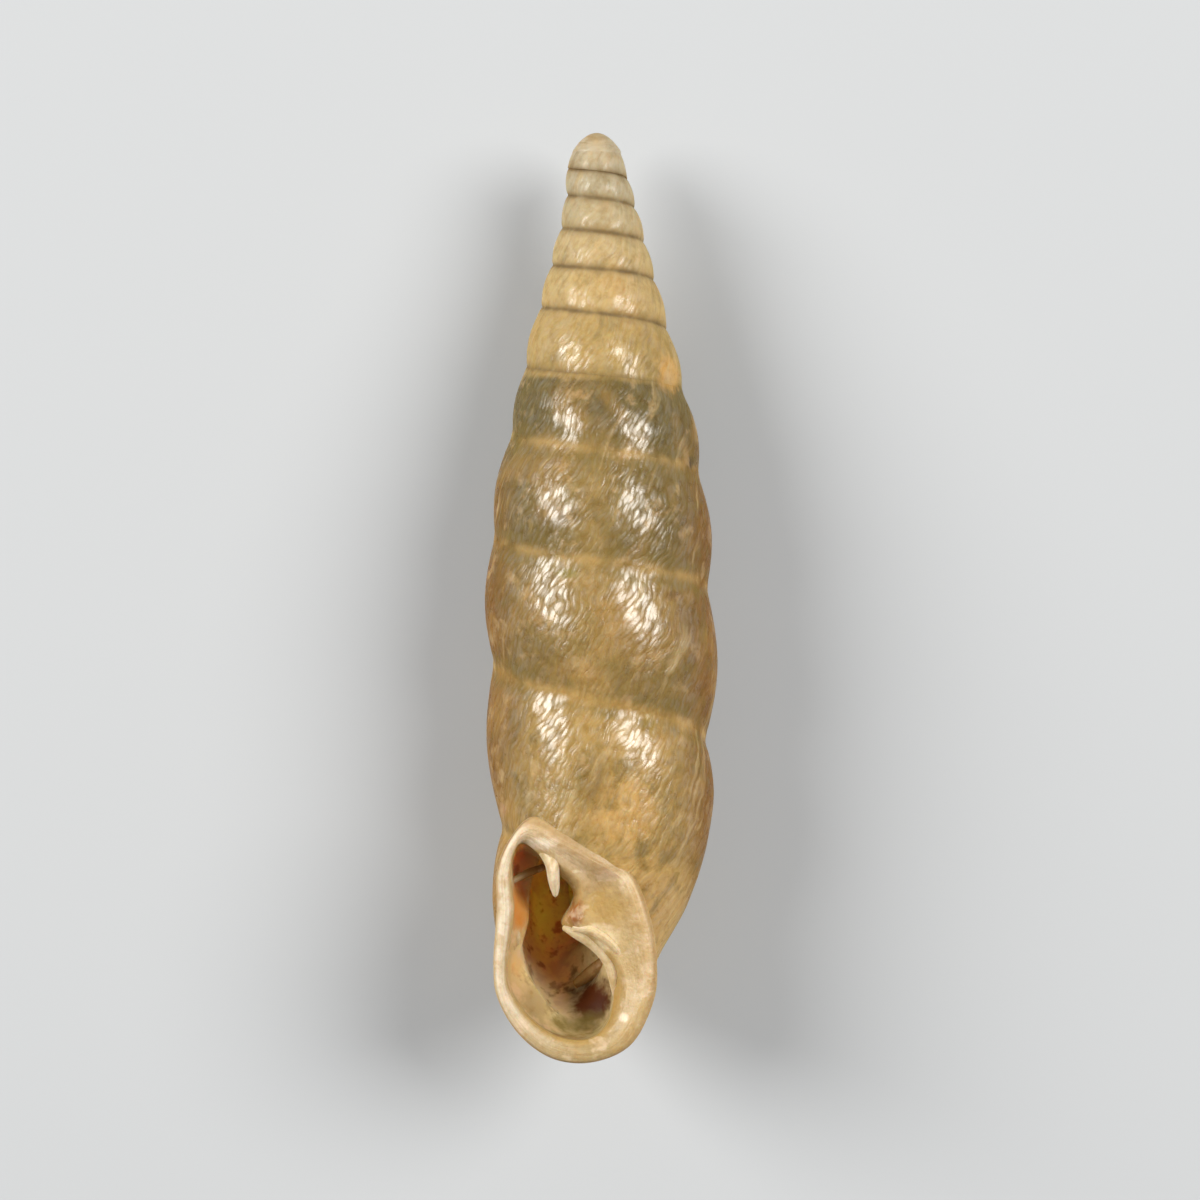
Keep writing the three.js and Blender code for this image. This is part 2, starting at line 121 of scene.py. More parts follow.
# Folds in the mouth: an upright blade through oval sections (centre, half thickness, half depth), and
# rounded ridges along a curve (centre, radius).
PARIETAL_TOOTH = ((-0.86, -1.53, 3.86, 0.26, 0.2), (-0.85, -1.56, 3.7, 0.24, 0.24),
                  (-0.84, -1.575, 3.6, 0.19, 0.25), (-0.83, -1.595, 3.5, 0.145, 0.26),
                  (-0.825, -1.605, 3.4, 0.118, 0.27), (-0.815, -1.575, 3.24, 0.105, 0.27),
                  (-0.795, -1.51, 3.08, 0.085, 0.22), (-0.785, -1.45, 2.94, 0.045, 0.15))
RIDGES = {
    "columellar_fold": ((0.27, -1.22, 1.15, 0.05), (0.24, -1.28, 1.5, 0.1), (0.15, -1.31, 1.8, 0.125),
                        (-0.05, -1.32, 2.05, 0.135), (-0.32, -1.33, 2.24, 0.13), (-0.64, -1.3, 2.36, 0.05)),
    "short_fold": ((0.4, -1.48, 1.86, 0.05), (0.22, -1.54, 2.08, 0.08), (0.04, -1.55, 2.23, 0.09),
                   (-0.2, -1.52, 2.35, 0.09), (-0.46, -1.42, 2.36, 0.06)),
    "palatal_fold": ((-1.6, -1.1, 3.13, 0.05), (-1.32, -0.96, 3.28, 0.07), (-1.0, -0.84, 3.4, 0.06)),
    "left_pleat": ((-1.5, -1.1, 2.34, 0.04), (-1.46, -1.08, 2.2, 0.06), (-1.47, -1.08, 2.04, 0.04)),
    "inner_fold": ((0.22, -0.35, 1.8, 0.1), (-0.1, -0.12, 1.5, 0.13), (-0.42, 0.12, 1.24, 0.09)),
}
# A groove above the columellar fold, cut like a ridge.
RECESS = ((-0.46, -1.7, 2.98, 0.03), (-0.37, -1.68, 2.8, 0.075), (-0.35, -1.66, 2.6, 0.085),
          (-0.42, -1.64, 2.44, 0.04))

# The callus that narrows the way into the mouth: bell curves of the place round the mouth, counted in
# points of the outline above. Each has its middle, its width and how far it stands in.
CALLUS = ((5.6, 1.7, 0.36), (2.8, 1.0, 0.22), (0.4, 1.0, 0.2))
CALLUS_DEPTH = 0.72

# The finishes, by number.
FINISHES = ("horn_skin", "lip_enamel", "mouth_lining")
SKIN, LIP, LINING = range(3)

# What a loft's second coordinate says on the folds. On the lip it runs from nought on the outer edge to
# one on the crest, two at the opening and on inwards.
RIDGE_MARK = 5.0
TOOTH_MARK = 6.0
RECESS_MARK = 1.5
HOLLOW_MARK = 8.0

# Mesh fineness.
STEPS_PER_TURN = 240
ROWS = 17
LIP_STEPS = 320
CAVITY_STEPS_PER_TURN = 72
CAVITY_SIDES = 24


# Curves and grids.

def smooth_curve(knots):
    """A curve through (x, y) knots that never swings past them.

    On each span it is a cubic. Its slope at a knot is the harmonic mean of the two straight slopes beside
    the knot, or nought where they differ in sign.
    """
    x = np.array([knot[0] for knot in knots], float)
    y = np.array([knot[1] for knot in knots], float)
    steps = np.diff(y) / np.diff(x)
    slopes = np.zeros(len(x))
    slopes[0], slopes[-1] = steps[0], steps[-1]
    before, after = steps[:-1], steps[1:]
    same = before * after > 0
    slopes[1:-1][same] = 2 * (before * after)[same] / (before + after)[same]

    def curve(value):
        value = np.clip(value, x[0], x[-1])
        i = np.clip(np.searchsorted(x, value, side="right") - 1, 0, len(x) - 2)
        span = x[i + 1] - x[i]
        s = (value - x[i]) / span
        return (y[i] * (1 + 2 * s) * (1 - s) ** 2 + y[i + 1] * s * s * (3 - 2 * s)
                + span * (slopes[i] * s * (1 - s) ** 2 - slopes[i + 1] * s * s * (1 - s)))

    return curve


def smoothstep(value, low, high):
    """Nought below low, one above high, and 3s^2 - 2s^3 of the share s between them."""
    s = np.clip((value - low) / (high - low), 0, 1)
    return s * s * (3 - 2 * s)


def mix(a, b, share):
    return a + (b - a) * share


def finer(rings, steps):
    """More rings between the given ones: each coordinate runs through them along a cubic whose slope at a
    ring is the harmonic mean of the steps beside it, so it never swings past a ring."""
    rings = np.asarray(rings, float)
    jumps = np.diff(rings, axis=0)
    slopes = np.zeros_like(rings)
    slopes[0], slopes[-1] = jumps[0], jumps[-1]
    product = jumps[:-1] * jumps[1:]
    total = np.where(product > 0, jumps[:-1] + jumps[1:], 1)
    slopes[1:-1] = np.where(product > 0, 2 * product / total, 0)
    place = np.linspace(0, len(rings) - 1, (len(rings) - 1) * steps + 1)
    i = np.clip(place.astype(int), 0, len(rings) - 2)
    s = (place - i).reshape((-1,) + (1,) * (rings.ndim - 1))
    return (rings[i] * (1 + 2 * s) * (1 - s) ** 2 + rings[i + 1] * s * s * (3 - 2 * s)
            + slopes[i] * s * (1 - s) ** 2 - slopes[i + 1] * s * s * (1 - s))


def closed_curve(points, steps):
    """Evenly numbered places on the closed Catmull-Rom curve through the points: between two of them it is
    the cubic whose end slopes are half the chord between the neighbours on either side."""
    points = np.asarray(points, float)
    count = len(points)
    place = np.arange(steps) / steps * count
    i = place.astype(int)
    s = (place - i)[:, None]
    p0, p1, p2, p3 = (points[(i + k) % count] for k in (-1, 0, 1, 2))
    return 0.5 * (2 * p1 + (p2 - p0) * s + (2 * p0 - 5 * p1 + 4 * p2 - p3) * s ** 2
                  + (3 * p1 - p0 - 3 * p2 + p3) * s ** 3)


# The shape of the shell.

suture_height_at_left = smooth_curve(list(enumerate(SUTURE_HEIGHTS)))
suture_radius = smooth_curve(SUTURE_RADII)
reach_right = smooth_curve(REACH_RIGHT)
reach_left = smooth_curve(REACH_LEFT)
reach_back = smooth_curve(REACH_BACK)
reach_front = smooth_curve(REACH_FRONT)
middle_x = smooth_curve(MIDDLE_X)
middle_y = smooth_curve(MIDDLE_Y)
neck_squareness = smooth_curve(NECK_SQUARENESS)
hollow_height = smooth_curve(HOLLOW_HEIGHT)
hollow_half = smooth_curve(HOLLOW_HALF)


def angle_at(turn):
    return math.pi + 2 * math.pi * turn


def suture_height(turn):
    """Height of a whorl's upper suture: the left side's height, and a lean that lifts it to the right in
    proportion to the radius and to one plus the cosine of the angle."""
    height = suture_height_at_left(turn)
    lean = SUTURE_LEAN * suture_radius(height) * (1 + np.cos(angle_at(turn)))
    lean = lean * smoothstep(turn, 0, 2) * smoothstep(-turn, -13, -11)
    return np.minimum(SHELL_HEIGHT, height + lean)


def body_reach(angle, height):
    """Distance of the body whorl's skin from its middle: four quarters of ellipses, whose power rises above
    two at the corner of the neck."""
    across, along = np.cos(angle), np.sin(angle)
    middle = middle_x(height)
    side = np.where(across > 0, reach_right(height) - middle, reach_left(height) + middle)
    middle = middle_y(height)
    depth = np.where(along > 0, reach_back(height) - middle, reach_front(height) + middle)
    power = np.where((across < 0) & (along < 0), neck_squareness(height), 2)
    total = np.abs(across / side) ** power + np.abs(along / depth) ** power
    return total ** (-1 / power)


def skin_reach(turn, share):
    """Distance of the skin from the middle, a share of the way from a whorl's upper suture to its lower.

    It is the straight line between the two sutures plus a bulge of sin(pi share)^1.15. The last whorl runs
    over into the body's ellipses, less a notch below the suture that dies out as a quarter sine.
    """
    angle = angle_at(turn)
    top, low = suture_height(turn), suture_height(turn + 1)
    height = mix(top, low, share)
    bulge = np.minimum(BULGE_MOST, BULGE_PER_HEIGHT * (top - low)) * np.sin(np.pi * share) ** 1.15
    whorl = mix(suture_radius(top), suture_radius(low), share) + bulge
    fade = 1 - smoothstep(turn, WHORLS, WHORLS + 0.25)
    notch = fade * (body_reach(angle, top) - suture_radius(top))
    down = np.minimum(1, (top - height) / BODY_SWELL_DEPTH)
    body = body_reach(angle, height) - notch * (1 - np.sin(math.pi / 2 * down))
    return mix(whorl, body, smoothstep(turn, WHORLS - 1, WHORLS - 0.75))


def unevenness(turn, share):
    """Faint growth waves and dents in the skin: a few sines of the turn and the share whose numbers have no
    common measure, so that they never repeat in step."""
    along = 2 * np.pi * turn
    waves = (0.40 * np.sin(7.3 * along + 2.1 * share) * np.sin(1.7 * along - 3.2 * share + 0.6)
             + 0.35 * np.sin(13.7 * along + 3.4 * share + 1.1) * np.sin(2.9 * along + 1.3)
             + 0.45 * np.sin(3.1 * along - 4.3 * share + 2.2)
             + 0.25 * np.sin(22.1 * along + 5.0 * share + 0.4) * np.sin(0.83 * along + 2.6 * share))
    return waves * smoothstep(turn, 1.5, 6)


def skin_point(turn, share):
    """Place of the skin: the middle at that height, and the reach along the angle of the turn.

    The seams between the early whorls are fine grooves. Between the late ones the skin follows the smooth
    curve of the suture radii instead. Both are bell curves of the distance to the nearer suture.
    """
    angle = angle_at(turn)
    top, low = suture_height(turn), suture_height(turn + 1)
    height = mix(top, low, share)
    near = np.minimum(share, 1 - share) * (top - low)
    early = 1 - smoothstep(turn + share, 6.6, 7.6)
    before_lip = 1 - smoothstep(turn + share, WHORLS, WHORLS + 0.2)
    groove = GROOVE_DEPTH * smoothstep(turn, 1.2, 2.2) * early * np.exp(-(near / GROOVE_WIDTH) ** 2)
    filled = (1 - early) * before_lip * np.exp(-(near / SEAM_WIDTH) ** 2)
    calm = 1 - smoothstep(turn, WHORLS + 0.2, WHORLS + 0.9)
    reach = mix(skin_reach(turn, share), suture_radius(height), filled) - groove
    reach = reach + WAVE_HEIGHT * calm * unevenness(turn, share)
    return np.stack((middle_x(height) + reach * np.cos(angle), middle_y(height) + reach * np.sin(angle),
                     height), axis=-1)


def solid(name, points, blocks):
    """A closed mesh object from an array of points and blocks of faces.

    Each block is (faces, finish, place, grain): point numbers, the number of the finish, and for each face
    corner its place on the piece and its millimetres along and across the growth.
    """
    mesh = bpy.data.meshes.new(name)
    faces = [face for block in blocks for face in block[0].tolist()]
    mesh.from_pydata(np.asarray(points, float), [], faces)
    finish = np.concatenate([np.broadcast_to(block[1], len(block[0])) for block in blocks])
    for _ in FINISHES:
        mesh.materials.append(None)
    mesh.polygons.foreach_set("material_index", finish.astype(np.int32))
    for layer, column in (("place", 2), ("grain", 3)):
        corners = [np.broadcast_to(block[column], block[0].shape + (2,)).reshape(-1, 2) for block in blocks]
        uv = mesh.uv_layers.new(name=layer)
        uv.uv.foreach_set("vector", np.concatenate(corners).astype(np.float32).ravel())
    mesh.update()
    piece = bpy.data.objects.new(name, mesh)
    bpy.context.collection.objects.link(piece)
    return piece


def pairs(a, b):
    """Two arrays of one shape as a last axis of two."""
    return np.stack(np.broadcast_arrays(a, b), axis=-1).astype(float)


def spiral_body():
    """The skin over the whole spiral, on a grid of turn by share. Each whorl's lower edge is the upper edge
    of the next, a fan closes the apex and another the base."""
    columns = round((LAST_TURN - FIRST_TURN) * STEPS_PER_TURN)
    even = np.arange(ROWS) / ROWS
    shares = mix(even, (1 - np.cos(np.pi * even)) / 2, 0.7)
    turns = FIRST_TURN + np.arange(columns + 1) / STEPS_PER_TURN
    skin = skin_point(turns[:, None], shares[None, :]).reshape(-1, 3)
    foot_turns = turns[columns + 1 - STEPS_PER_TURN:]
    foot = skin_point(foot_turns, np.ones(len(foot_turns)))
    points = np.concatenate((skin, foot, [(float(middle_x(SHELL_HEIGHT)), 0, SHELL_HEIGHT), BASE_TIP]))
    apex, tip = len(points) - 2, len(points) - 1

    def index(column, row):
        below = np.where(column + STEPS_PER_TURN <= columns, (column + STEPS_PER_TURN) * ROWS,
                         len(skin) + column + STEPS_PER_TURN - columns - 1)
        return np.where(row == ROWS, below, column * ROWS + row)

    arc = np.concatenate(([0.0], np.cumsum(skin_reach(turns[1:], 0.5)) * 2 * math.pi / STEPS_PER_TURN))
    share_at = np.append(shares, 1.0)
    drop = suture_height(turns) - suture_height(turns + 1)

    def block(column, row):
        """Faces whose corners are (column, row) on the grid; minus one stands for the apex, minus two for
        the base's tip."""
        number = np.where(column == -1, apex, np.where(column == -2, tip, index(column, row)))
        column = np.where(column == -1, 0, np.where(column == -2, columns, column))
        place = pairs(turns[column] / LAST_TURN, share_at[row])
        return number, SKIN, place, pairs(arc[column], share_at[row] * drop[column])

    column, row = (axis.ravel() for axis in np.meshgrid(np.arange(columns), np.arange(ROWS), indexing="ij"))
    none, first, rows = np.zeros(STEPS_PER_TURN, int), np.arange(STEPS_PER_TURN), np.arange(ROWS)
    last = columns - STEPS_PER_TURN + first
    blocks = [
        block(np.stack((column, column, column + 1, column + 1), -1),
              np.stack((row, row + 1, row + 1, row), -1)),
        block(np.stack((none - 1, first, first + 1), -1), np.stack((none, none, none), -1)),
        block(np.stack((0 * rows - 1, 0 * rows, 0 * rows), -1), np.stack((rows, rows + 1, rows), -1)),
        block(np.stack((none - 2, last + 1, last), -1),
              np.stack((none + ROWS, none + ROWS, none + ROWS), -1)),
        block(np.stack((0 * rows - 2, 0 * rows + columns, 0 * rows + columns), -1),
              np.stack((rows, rows, rows + 1), -1)),
    ]
    return solid("spiral_body", points, blocks)


def loft(name, rings, start, end, marks=None, finish=None, turns=1.0):
    """A closed skin through rings of equal point count, with a fan over each end. The rings run
    counterclockwise as seen from the end point. Each ring has a mark, which is its place across, and each
    gap between rings has a finish. The place round a ring runs from nought to the given turns."""
    rings = np.asarray(rings, float)
    count, sides = rings.shape[:2]
    marks = np.zeros(count) if marks is None else np.asarray(marks, float)
    finish = np.full(count - 1, LIP) if finish is None else np.asarray(finish)
    points = np.concatenate((rings.reshape(-1, 3), [start, end]))
    side = np.arange(sides)
    after = (side + 1) % sides
    base = (np.arange(count - 1) * sides)[:, None]
    walls = np.stack((base + side, base + after, base + sides + after, base + sides + side), -1)
    walls = walls.reshape(-1, 4)
    low, high = np.broadcast_arrays(marks[:-1, None], marks[1:, None])
    around = np.broadcast_arrays(side / sides, low)[0]
    further = around + 1 / sides
    low, high = low + 0 * around, high + 0 * around
    place = np.stack((pairs(around, low), pairs(further, low), pairs(further, high), pairs(around, high)), -2)
    place = place.reshape(-1, 4, 2) * (turns, 1)
    last = (count - 1) * sides
    fans = ((np.stack((np.full(sides, len(points) - 2), after, side), -1), finish[0], marks[0]),
            (np.stack((np.full(sides, len(points) - 1), last + side, last + after), -1),
             finish[-1], marks[-1]))
    blocks = [(walls, np.repeat(finish, sides), place, place)]
    for fan, of_fan, mark in fans:
        blocks.append((fan, of_fan, np.array((turns / 2, mark)), np.array((turns / 2, mark))))
    return solid(name, points, blocks)


def apex_dome():
    """The round top of the shell, which is worn smooth: its radius goes with the square root of the depth
    below the top, and shrinks again where the dome dips into the first whorl."""
    depth = DOME_DEPTH * (np.arange(1, 25) / 24) ** 2
    radius = DOME_WIDTH * np.sqrt(depth) * (1 - 0.2 * smoothstep(depth, 0.3, DOME_DEPTH))
    around = 2 * np.pi * np.arange(96) / 96
    rings = np.stack((DOME_X + radius[:, None] * np.cos(around), radius[:, None] * np.sin(around),
                      SHELL_HEIGHT - depth[:, None] + 0 * around), axis=-1)
    return loft("apex_dome", rings[::-1], (DOME_X, 0, SHELL_HEIGHT - DOME_DEPTH), (DOME_X, 0, SHELL_HEIGHT),
                marks=depth[::-1], finish=np.full(23, SKIN), turns=1 / LAST_TURN)


def body_depth(x, z):
    """How far the body whorl reaches in front of the axis at a place in the front view: the same ellipses
    as in body_reach, solved for the depth."""
    dx = x - middle_x(z)
    side = np.maximum(0.001, np.where(dx > 0, reach_right(z) - middle_x(z), reach_left(z) + middle_x(z)))
    power = np.where(dx > 0, 2, neck_squareness(z))
    rest = 1 - np.minimum(1, np.abs(dx / side)) ** power
    return (reach_front(z) + middle_y(z)) * rest ** (1 / power) - middle_y(z)


def softened(values, half_window):
    """The values round a ring, each averaged with its neighbours under a raised cosine."""
    offsets = np.arange(-half_window, half_window + 1)
    weights = 1 + np.cos(np.pi * offsets / (half_window + 1))
    rolled = [weight * np.roll(values, offset) for weight, offset in zip(weights, offsets)]
    return np.sum(rolled, axis=0) / weights.sum()


def mouth_stations():
    """The mouth's two outlines at even steps, how far apart they are and how far the crest comes forward:
    a plane that leans with height, or a little over the body whorl where the lip lies on it. The crest is
    a soft maximum of the two, half of their sum and of the root of their difference squared plus a bit."""
    table = np.array(MOUTH)
    outer = closed_curve(table[:, :2], LIP_STEPS)
    inner = closed_curve(table[:, 2:], LIP_STEPS)
    width = np.linalg.norm(outer - inner, axis=1)
    plane = MOUTH_PLANE + MOUTH_SLOPE * outer[:, 1]
    over_body = body_depth(outer[:, 0], outer[:, 1]) + LIP_OVER_BODY
    crest = (plane + over_body + np.sqrt((plane - over_body) ** 2 + CREST_SOFTNESS)) / 2
    return outer, inner, width, crest


OUTER, INNER, WIDTH, CREST = mouth_stations()
STATION = np.arange(LIP_STEPS) / LIP_STEPS * len(MOUTH)
BROAD = softened(smoothstep(WIDTH, 0.4, 0.9), 12)


def mouth_ring(inwards, depth):
    """A ring round the mouth: a distance inwards from the outer edge, and a depth in front of the axis."""
    place = OUTER + (INNER - OUTER) * (inwards / WIDTH)[:, None]
    return np.stack((place[:, 0], -depth * np.ones(LIP_STEPS), place[:, 1]), axis=-1)


def station_bell(middle, width):
    """A bell curve of the place round the mouth, exp(-(distance / width)^2), the short way round."""
    count = len(MOUTH)
    distance = (STATION - middle + count / 2) % count - count / 2
    return np.exp(-(distance / width) ** 2)


def crest_inset():
    """How far in from the outer edge the lip's crest runs: further where the lip is broad, and at the upper
    corner, where it spreads over the body whorl."""
    return LIP_ROUND + 0.08 * BROAD + 0.1 * station_bell(0, 1.2)


def filled_lip():
    """The neck behind the lip and the lip's rounded rim, still filled."""
    inset = crest_inset()
    rings = finer([mouth_ring(place, depth) for place, depth in (
        (0.36, 0.5), (0.19, 0.95), (0.13, CREST - 0.5), (0.075, CREST - 0.3), (0.0, CREST - 0.15),
        (0.2 * inset, CREST - 0.05), (0.58 * inset, CREST - 0.012), (inset, CREST))], 4)
    x, z = MOUTH_MIDDLE
    return loft("lip", rings, (x, -0.3, z), (x, -1.7, z), marks=np.linspace(0, 1, len(rings)))


def lip_fall():
    """How far the lip's slope falls from its crest to the edge of the opening: most beside the column."""
    return softened(LIP_FALL + BROAD_LIP_FALL * smoothstep(WIDTH, 0.35, 0.9), 10)


def lip_slope(share):
    """Share of the fall at a share of the slope's width. The narrow lip is a bead, a quarter circle. The
    broad lip beside the column falls off its ridge, runs nearly level and rounds over at the opening."""
    bead = 1 - np.sqrt(1 - (0.98 * share) ** 2)
    left = (1 - share) * WIDTH
    shelf = (0.28 * (1 - np.exp(-(share * WIDTH / 0.24) ** 2)) + 0.22 * share
             + 0.5 * (1 - smoothstep(left, -0.02, 0.3)) / (1 - smoothstep(0, -0.02, 0.3)))
    return mix(bead, shelf, BROAD)


def mouth_hollow():
    """The space of the mouth: in front of the lip, down its slope, and back into the last whorl through
    upright ovals. A point of an oval lies at its half width and half height times the cosine and sine of
    the angle that its place on the lip's outer edge has about the mouth's middle."""
    fall = lip_fall()
    start = crest_inset() - 0.004
    shares = 1 - (1 - np.linspace(0, 1, 17)) ** 1.3
    slope = [mouth_ring(mix(start, WIDTH, share), CREST - 0.003 - fall * lip_slope(share))
             for share in shares]
    front = mouth_ring(start + 0 * WIDTH, CREST + 0.6)
    throat = mouth_ring(WIDTH + 0.02, CREST - fall - 0.28)
    narrowed = sum(height * station_bell(middle, width) for middle, width, height in CALLUS)
    callus = mouth_ring(WIDTH + 0.03 + narrowed, mix(CALLUS_DEPTH, CREST - fall - 0.28, 0.2))
    x, z = MOUTH_MIDDLE
    around = np.arctan2(OUTER[:, 1] - z, x - OUTER[:, 0])
    ovals = []
    for centre_x, centre_y, centre_z, bearing, half_width, half_height in PASSAGE:
        out = half_width * np.cos(around)
        turned = math.radians(bearing)
        ovals.append(np.stack((centre_x + out * math.cos(turned), centre_y + out * math.sin(turned),
                               centre_z + half_height * np.sin(around)), axis=-1))
    inner = finer([slope[-1], throat, callus] + ovals, 6)
    rings = np.concatenate(([front], slope[:-1], inner))
    marks = np.concatenate(([1], 1 + shares[:-1], 2 + np.arange(len(inner)) / 6))
    finish = np.where(np.arange(len(rings) - 1) < len(slope) + 2, LIP, LINING)
    return loft("mouth_hollow", rings[::-1], PASSAGE_END, (x, -2.8, z), marks[::-1], finish[::-1])


def spiral_hollow():
    """The hollow inside the whorls: one oval section after another, between the column and the wall."""
    steps = round((WHORLS - 0.2 - CAVITY_START) * CAVITY_STEPS_PER_TURN)

    def section(turn):
        angle = angle_at(turn)
        top, low = suture_height(turn), suture_height(turn + 1)
        late = turn > WHORLS - 1.25
        height = np.where(late, hollow_height(turn), (top + low) / 2)
        half = np.where(late, hollow_half(turn), (top - low) / 2 - SEPTUM - 0.035 * (top - low))
        outer = np.where(late, body_reach(angle, height), skin_reach(turn, 0.5)) - WALL
        column = COLUMN_SHARE * outer
        return angle, height, half, (outer + column) / 2, (outer - column) / 2

    def place(turn, around, size=1.0):
        angle, height, half, middle, half_width = section(turn)
        reach = middle + size * half_width * np.cos(around)
        return np.stack((reach * np.cos(angle), reach * np.sin(angle),
                         height + size * half * np.sin(around)), axis=-1)

    turns = CAVITY_START + np.arange(steps + 1) / CAVITY_STEPS_PER_TURN
    around = -2 * np.pi * np.arange(CAVITY_SIDES) / CAVITY_SIDES
    rings = place(turns[:, None], around[None, :])
    first = place(np.array(CAVITY_START - 0.02), 0.0, 0.0)
    last = place(np.array(turns[-1] + 0.3 / 18), 0.0, 0.0)
    return loft("spiral_hollow", rings, first, last, marks=np.full(len(rings), HOLLOW_MARK),
                finish=np.full(len(rings) - 1, LINING))


def ridge(name, path, mark=RIDGE_MARK):
    """A rounded ridge: circles about a smooth curve through the path, square to it."""
    line = finer([p[:3] for p in path], 8)
    radius = finer([[p[3]] for p in path], 8)
    tangent = np.gradient(line, axis=0)
    tangent /= np.linalg.norm(tangent, axis=1)[:, None]
    normal = np.cross(tangent, (0.0, 1.0, 0.0))
    normal /= np.linalg.norm(normal, axis=1)[:, None]
    binormal = np.cross(tangent, normal)
    around = 2 * np.pi * np.arange(24) / 24
    rings = (line[:, None] + radius[:, None] * (normal[:, None] * np.cos(around)[None, :, None]
                                                 + binormal[:, None] * np.sin(around)[None, :, None]))
    start = line[0] - 0.6 * radius[0] * tangent[0]
    end = line[-1] + 0.6 * radius[-1] * tangent[-1]
    return loft(name, rings, start, end, marks=np.full(len(rings), mark))


def blade(name, sections):
    """An upright blade: ovals of half thickness and half depth, one under the other."""
    table = finer(sections, 8)
    around = -2 * np.pi * np.arange(28) / 28
    rings = np.stack((table[:, 0:1] + table[:, 3:4] * np.cos(around),
                      table[:, 1:2] + table[:, 4:5] * np.sin(around), table[:, 2:3] + 0 * around), axis=-1)
    start = (sections[0][0], sections[0][1], sections[0][2] + 0.02)
    end = (sections[-1][0], sections[-1][1], sections[-1][2] - 0.04)
    return loft(name, rings, start, end, marks=np.full(len(rings), TOOTH_MARK))


def combined(base, tools):
    """The base after each (operation, tool) in turn, worked out once and kept as a plain mesh."""
    for operation, tool in tools:
        step = base.modifiers.new(operation.lower(), "BOOLEAN")
        step.operation = operation
        step.solver = "MANIFOLD"
        step.object = tool
    graph = bpy.context.evaluated_depsgraph_get()
    mesh = bpy.data.meshes.new_from_object(base.evaluated_get(graph))
    base.modifiers.clear()
    base.data = mesh
    for _, tool in tools:
        bpy.data.objects.remove(tool)
    return base


def points_of(mesh):
    flat = np.empty(len(mesh.vertices) * 3, np.float32)
    mesh.vertices.foreach_get("co", flat)
    return flat.reshape(-1, 3).astype(float)


# From the growth frame to the resting pose: on its back, apex to +Y, tilted onto two whorls.
SIN, COS = math.sin(PITCH), math.cos(PITCH)
LAY_DOWN = np.array(((1, 0, 0), (0, -SIN, COS), (0, -COS, -SIN)))


def placement(points):
    """The shift in metres that puts the laid-down shell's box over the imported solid's box: centred on it
    seen from above, and level with its top."""
    laid = points @ LAY_DOWN.T * MM
    low, high = laid.min(axis=0), laid.max(axis=0)
    box_low, box_high = (np.array(corner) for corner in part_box("shell"))
    shift = (box_low + box_high - low - high) / 2
    shift[2] = box_high[2] - high[2]
    return shift


body = spiral_body()
combined(body, [("UNION", apex_dome()), ("UNION", filled_lip()), ("DIFFERENCE", spiral_hollow()),
                ("DIFFERENCE", mouth_hollow()), ("UNION", blade("tooth", PARIETAL_TOOTH)),
                ("DIFFERENCE", ridge("recess", RECESS, RECESS_MARK))]
         + [("UNION", ridge(name, path)) for name, path in RIDGES.items()])
grown = points_of(body.data)
SHIFT = placement(grown)


def laid_down(points):
    """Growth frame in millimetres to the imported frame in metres."""
    return np.asarray(points, float) @ LAY_DOWN.T * MM + SHIFT


def grown_again(points):
    """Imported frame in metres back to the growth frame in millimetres."""
    return (np.asarray(points, float) - SHIFT) @ LAY_DOWN / MM


def cut_resting_flats(shell):
    """Cuts the shell off level with the floor, with a block in the growth frame below it."""
    corners = np.array([(x, y, z) for z in (-0.01, 0.0) for y in (-0.02, 0.02) for x in (-0.02, 0.02)])
    faces = np.array([(0, 2, 3, 1), (4, 5, 7, 6), (0, 1, 5, 4), (2, 6, 7, 3), (0, 4, 6, 2), (1, 3, 7, 5)])
    block = solid("below_floor", grown_again(corners), [(faces, SKIN, np.zeros(2), np.zeros(2))])
    return combined(shell, [("DIFFERENCE", block)])


cut_resting_flats(body)
body.name = "snail_shell"
body.data.name = "snail_shell"
grown = points_of(body.data)
body.data.vertices.foreach_set("co", laid_down(grown).astype(np.float32).ravel())
body.data.update()

body.data.shade_smooth()
body.data.set_sharp_from_angle(angle=SHARP_EDGE)
body.data.attributes.new("grown", "FLOAT_VECTOR", "POINT").data.foreach_set(
    "vector", grown.astype(np.float32).ravel())

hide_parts("shell")
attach(body, "root")


# Finishes.

